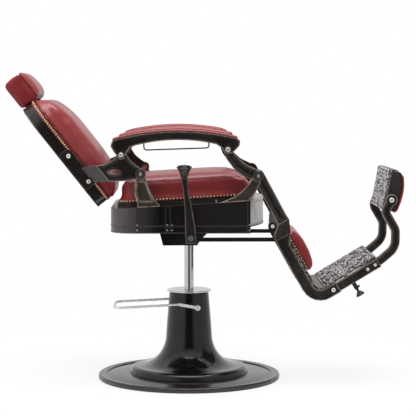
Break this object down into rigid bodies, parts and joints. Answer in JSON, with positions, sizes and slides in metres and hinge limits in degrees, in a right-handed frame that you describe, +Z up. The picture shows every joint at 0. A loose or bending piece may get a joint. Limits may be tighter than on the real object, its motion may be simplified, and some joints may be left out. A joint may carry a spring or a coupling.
{
  "type": "barber chair",
  "caption": "Reclining barber chair on a hydraulic pedestal, with coupled back, arms and leg rest, swivel seat, sliding headrest and flip-over footrest.",
  "frame": {"origin": "on the floor at the centre of the round base, on the ram's axis", "axes": "+X towards the front of the seat, +Y towards the sitter's left, +Z up; the recline lever is on the right, at -Y"},
  "size_m": [1.502, 0.7165, 1.1814],
  "materials": {
    "floor_iron": "rough casting",
    "dish_enamel": "dark brown, satin",
    "rim_bronze": "antique brown, satin",
    "column_enamel": "gloss black",
    "chrome": "polished",
    "steel": "machined",
    "pump_iron": "machined casting",
    "bronze": "machined",
    "rubber": "matt",
    "antique_casting": "antique brown, satin",
    "box_enamel": "antique black, satin",
    "front_steel": "satin polished",
    "tread_metal": "antique silver, cast relief",
    "leather": "oxblood, glossy",
    "wood": "plain board",
    "core_wood": "stained black, grained",
    "lever_bronze": "antique brown, satin"
  },
  "bodies": {
    "base": {"floor_plate": "floor_iron", "base_dish": "dish_enamel", "base_rim": "rim_bronze", "column_skirt": "column_enamel", "column_collar": "chrome", "pump_cylinder": "steel", "pump_head": "pump_iron", "pump_body": "pump_iron", "gland_bush": "bronze", "ram_seal": "rubber", "pump_bolts": "steel", "plunger_spring": "steel"},
    "pedal": {"pedal_loop": "chrome", "pedal_shaft": "chrome", "pump_crank": "steel"},
    "plunger": {"pump_plunger": "steel"},
    "lift": {"ram": "chrome", "ram_guide": "bronze", "thrust_washer": "bronze"},
    "seat": {"swivel_hub": "pump_iron", "seat_carrier": "box_enamel", "seat_bolts": "steel", "seat_box": "box_enamel", "front_panel": "front_steel", "seat_board": "wood", "seat_cushion": "leather", "rear_brackets": "antique_casting", "front_brackets": "antique_casting", "bracket_pins": "chrome", "brake_guides": "box_enamel"},
    "lever": {"lever_handle": "lever_bronze", "lever_knob": "lever_bronze", "lever_shaft": "steel"},
    "back": {"back_frame": "antique_casting", "back_panel": "leather", "back_board": "wood", "back_cushion": "leather", "post_sleeves": "steel", "wing_brackets": "antique_casting", "wing_fasteners": "chrome"},
    "headrest": {"headrest_block": "leather", "headrest_pad": "leather", "headrest_posts": "chrome"},
    "arms": {"arm_right": "antique_casting", "arm_left": "antique_casting", "arm_pad_right": "leather", "arm_pad_left": "leather", "towel_bar": "antique_casting"},
    "leg_rest": {"leg_frames": "antique_casting", "footplate": "tread_metal", "calf_cushion": "leather", "footrest_rails": "antique_casting", "s_arms": "antique_casting", "leg_fasteners": "chrome", "bumper_stems": "box_enamel", "bumper_tips": "rubber"},
    "flip_footrest": {"flip_core": "core_wood", "flip_tread": "tread_metal", "flip_cushion": "leather"},
    "links": {"link_bars": "box_enamel"}
  },
  "joints": [
    {"name": "ram_lift", "type": "slide", "parent": "base", "child": "lift", "axis": [0, 0, 1], "range_m": [-0.17, 0]},
    {"name": "seat_swivel", "type": "hinge", "parent": "lift", "child": "seat", "pos_m": [0, 0, 0.53], "axis": [0, 0, 1], "continuous": true},
    {"name": "pedal_press", "type": "hinge", "parent": "base", "child": "pedal", "pos_m": [0.033, 0, 0.283], "axis": [0, -1, 0], "range_deg": [-6, 16], "stiffness_Nm_per_rad": 12, "springref_deg": -11.46},
    {"name": "plunger_stroke", "type": "slide", "parent": "base", "child": "plunger", "axis": [0, 0, -1], "range_m": [-0.009, 0.0235], "deforming": ["plunger_spring"]},
    {"name": "recline_lever", "type": "hinge", "parent": "seat", "child": "lever", "pos_m": [0.005, 0, 0.572], "axis": [0, 1, 0], "range_deg": [-20, 20]},
    {"name": "back_recline", "type": "hinge", "parent": "seat", "child": "back", "pos_m": [-0.178, 0, 0.806], "axis": [0, 1, 0], "range_deg": [0, 34]},
    {"name": "arm_pivot", "type": "hinge", "parent": "back", "child": "arms", "pos_m": [-0.248, 0, 0.877], "axis": [0, 1, 0], "range_deg": [-35.6, 0]},
    {"name": "leg_rest_pivot", "type": "hinge", "parent": "seat", "child": "leg_rest", "pos_m": [0.254, 0, 0.799], "axis": [0, 1, 0], "range_deg": [0, 24.9]},
    {"name": "link_pivot", "type": "hinge", "parent": "leg_rest", "child": "links", "pos_m": [0.334, 0, 0.572], "axis": [0, 1, 0], "range_deg": [-22.7, 0]},
    {"name": "headrest_slide", "type": "slide", "parent": "back", "child": "headrest", "axis": [-0.6198, 0, 0.7848], "range_m": [0, 0.1]},
    {"name": "footrest_flip", "type": "hinge", "parent": "leg_rest", "child": "flip_footrest", "pos_m": [0.758, 0, 0.702], "axis": [0, 1, 0], "range_deg": [0, 180]}
  ],
  "couplings": [
    {"joint": "plunger_stroke", "follows": "pedal_press", "m_per_rad": 0.083},
    {"joint": "arm_pivot", "follows": "back_recline", "ratio": -1.0466},
    {"joint": "leg_rest_pivot", "follows": "back_recline", "ratio": 0.7301},
    {"joint": "link_pivot", "follows": "back_recline", "ratio": -0.665}
  ]
}
